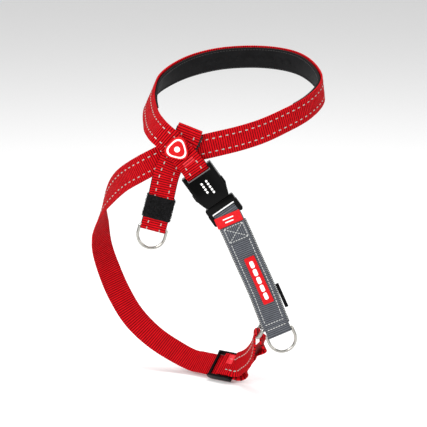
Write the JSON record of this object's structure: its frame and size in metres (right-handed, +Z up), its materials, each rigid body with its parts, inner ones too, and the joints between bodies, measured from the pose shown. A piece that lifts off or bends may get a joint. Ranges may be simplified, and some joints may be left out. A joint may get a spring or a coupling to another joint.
{
  "type": "head halter",
  "caption": "Padded webbing neck loop and adjustable lower loop crossing under a rubber badge, with side-release buckle, padded handle and leash rings.",
  "frame": {"origin": "centre of the neck opening, inside the lining", "axes": "+Z up as worn and shown, the front with the crossing and the buckle faces -Y, +X to the right seen from the front"},
  "size_m": [0.1927, 0.1464, 0.2698],
  "materials": {
    "red_webbing": "ribbed woven nylon webbing, red",
    "black_neoprene": "cushioned neoprene lining, black",
    "black_webbing": "woven nylon, black",
    "grey_webbing": "ribbed woven nylon webbing, grey",
    "loop_pile": "loop-pile band, black",
    "buckle_plastic": "moulded acetal, glossy black",
    "slider_plastic": "moulded acetal, matt black",
    "nickel_wire": "nickel-plated steel wire",
    "red_rubber": "moulded soft rubber, red",
    "white_rubber": "moulded soft rubber inlay, white",
    "red_ribbon": "woven satin ribbon, red",
    "pale_thread": "polyester sewing thread, pale"
  },
  "bodies": {
    "crossing": {"neck_webbing": "red_webbing", "neck_lining": "black_neoprene", "buckle_fold": "red_webbing", "lower_strap_upper": "red_webbing", "tab_strap": "red_webbing", "tab_top_fold": "red_webbing", "tab_backing": "black_webbing", "tab_ring_fold": "red_webbing", "tab_band": "loop_pile", "badge": "red_rubber", "badge_inlay": "white_rubber", "buckle_female": "buckle_plastic", "tab_end_stitches": "pale_thread", "buckle_stitches": "pale_thread"},
    "handle": {"buckle_male": "buckle_plastic", "handle_webbing": "grey_webbing", "handle_pad": "grey_webbing", "handle_backing": "grey_webbing", "handle_top_fold": "grey_webbing", "handle_end_fold": "grey_webbing", "box_patch": "grey_webbing", "buckle_tag": "red_ribbon", "handle_label": "red_rubber", "label_inlay": "white_rubber", "side_tag": "black_webbing", "handle_end_stitches": "pale_thread", "link_ring": "nickel_wire", "link_tab": "black_webbing", "ring_wrap": "red_webbing", "lower_strap_lower": "red_webbing", "return_leg": "red_webbing"},
    "slider": {"slider": "slider_plastic", "sewn_end": "red_webbing"},
    "tab_ring": {"tab_d_ring": "nickel_wire"},
    "end_ring": {"end_d_ring": "nickel_wire"},
    "latch_left": {"latch_arm_left": "buckle_plastic"},
    "latch_right": {"latch_arm_right": "buckle_plastic"}
  },
  "joints": [
    {"name": "buckle_release", "type": "slide", "parent": "crossing", "child": "handle", "axis": [0.5736, 0, -0.8192], "range_m": [0, 0.024], "deforming": ["latch_arm_left", "latch_arm_right"]},
    {"name": "latch_left_press", "type": "hinge", "parent": "handle", "child": "latch_left", "pos_m": [-0.02168, -0.0656, -0.07615], "axis": [0, 1, 0], "range_deg": [0, 10], "stiffness_Nm_per_rad": 0.05},
    {"name": "latch_right_press", "type": "hinge", "parent": "handle", "child": "latch_right", "pos_m": [-0.00727, -0.0656, -0.06605], "axis": [0, -1, 0], "range_deg": [0, 10], "stiffness_Nm_per_rad": 0.05},
    {"name": "strap_adjust", "type": "slide", "parent": "handle", "child": "slider", "axis": [-0.8, 0.6, 0], "range_m": [0, 0.01]},
    {"name": "tab_ring_swing", "type": "hinge", "parent": "crossing", "child": "tab_ring", "pos_m": [-0.0662, -0.062, -0.0924], "axis": [0.9659, 0, -0.2588], "range_deg": [-75, 75]},
    {"name": "end_ring_swing", "type": "hinge", "parent": "handle", "child": "end_ring", "pos_m": [0.03421, -0.0656, -0.17733], "axis": [0.9164, 0, 0.4003], "range_deg": [-75, 75]}
  ]
}
